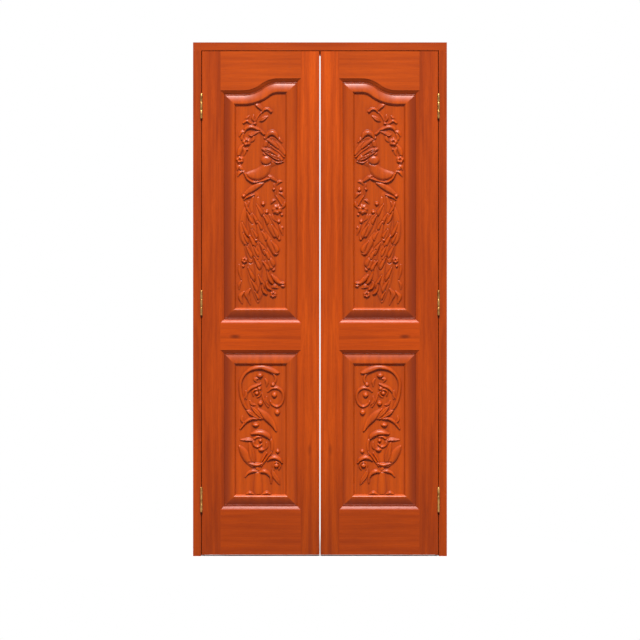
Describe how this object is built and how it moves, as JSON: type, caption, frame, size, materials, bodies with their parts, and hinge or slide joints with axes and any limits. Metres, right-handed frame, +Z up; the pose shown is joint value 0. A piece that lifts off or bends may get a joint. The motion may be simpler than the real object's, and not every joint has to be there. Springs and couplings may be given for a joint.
{
  "type": "teak double door",
  "caption": "Pair of side-hung teak door leaves with carved raised panels and S-arched top rails, in a slim rebated frame with brass butt hinges.",
  "frame": {"origin": "on the floor under the jambs' feet, midway between the jambs and midway through the overall depth", "axes": "+X to the right of someone facing the carved side, +Z up, the carved side looks toward -Y and the leaves open toward -Y"},
  "size_m": [1.0372, 0.0858, 2.0994],
  "materials": {
    "teak": "gloss varnish",
    "brass": "satin"
  },
  "bodies": {
    "frame": {"frame_head": "teak", "left_hinge_frame_plates": "brass", "left_hinge_pins": "brass", "left_jamb": "teak", "right_hinge_frame_plates": "brass", "right_hinge_pins": "brass", "right_jamb": "teak"},
    "left_leaf": {"left_bottom_rail": "teak", "left_hinge_leaf_plates": "brass", "left_hinge_stile": "teak", "left_lower_panel": "teak", "left_meeting_stile": "teak", "left_middle_rail": "teak", "left_tenon_wedges": "teak", "left_top_rail": "teak", "left_upper_panel": "teak"},
    "right_leaf": {"right_bottom_rail": "teak", "right_hinge_leaf_plates": "brass", "right_hinge_stile": "teak", "right_lower_panel": "teak", "right_meeting_stile": "teak", "right_middle_rail": "teak", "right_tenon_wedges": "teak", "right_top_rail": "teak", "right_upper_panel": "teak"}
  },
  "joints": [
    {"name": "left_leaf_swing", "type": "hinge", "parent": "frame", "child": "left_leaf", "pos_m": [-0.4841, -0.0382, 1.0347], "axis": [0, 0, -1], "range_deg": [0, 170]},
    {"name": "right_leaf_swing", "type": "hinge", "parent": "frame", "child": "right_leaf", "pos_m": [0.4841, -0.0382, 1.0347], "axis": [0, 0, 1], "range_deg": [0, 170]}
  ]
}
